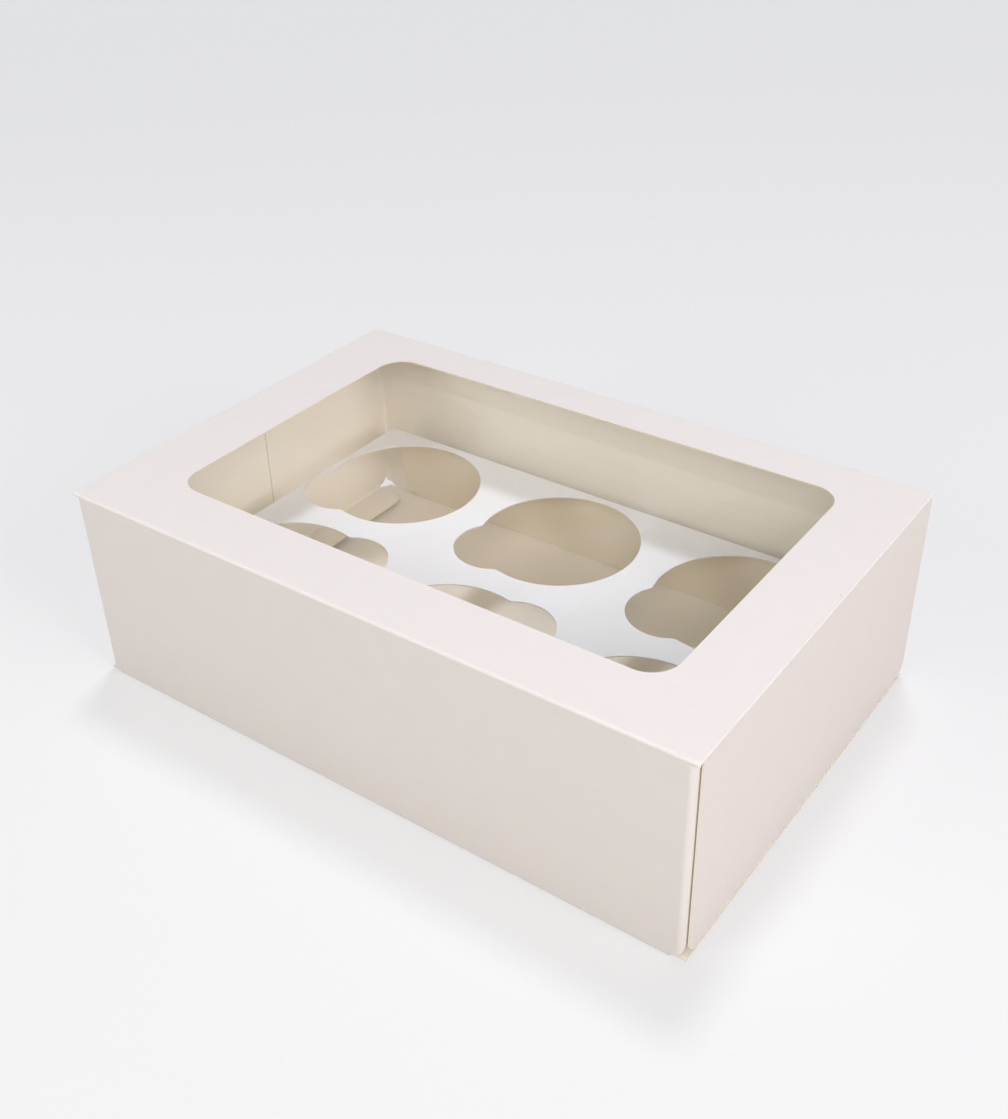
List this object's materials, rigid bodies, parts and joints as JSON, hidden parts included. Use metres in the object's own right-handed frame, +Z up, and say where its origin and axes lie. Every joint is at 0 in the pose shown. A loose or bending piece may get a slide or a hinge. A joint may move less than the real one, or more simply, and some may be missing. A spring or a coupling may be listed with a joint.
{
  "type": "windowed cupcake box",
  "caption": "White folded carton with a clear window in its top, tuck-in end flaps and a die-cut insert that holds cupcakes upright.",
  "frame": {"origin": "middle of the outer underside of the closed box", "axes": "+X along the box's length, +Y towards the back, away from the wide front wall, +Z up"},
  "size_m": [0.24, 0.16, 0.075],
  "materials": {
    "boxboard": "matt white clay-coated folding boxboard",
    "flap_boxboard": "matt white clay-coated folding boxboard",
    "insert_boxboard": "matt uncoated cool white board",
    "clear_film": "thin clear glossy film"
  },
  "bodies": {
    "box": {"carton": "boxboard", "window_film": "clear_film", "cup_insert": "insert_boxboard"},
    "right_end": {"end_flap_right": "flap_boxboard"},
    "left_end": {"end_flap_left": "flap_boxboard"}
  },
  "joints": [
    {"name": "right_flap_hinge", "type": "hinge", "parent": "box", "child": "right_end", "pos_m": [0.12, 0, 0.0745], "axis": [0, -1, 0], "range_deg": [0, 180]},
    {"name": "left_flap_hinge", "type": "hinge", "parent": "box", "child": "left_end", "pos_m": [-0.12, 0, 0.0745], "axis": [0, 1, 0], "range_deg": [0, 180]}
  ]
}
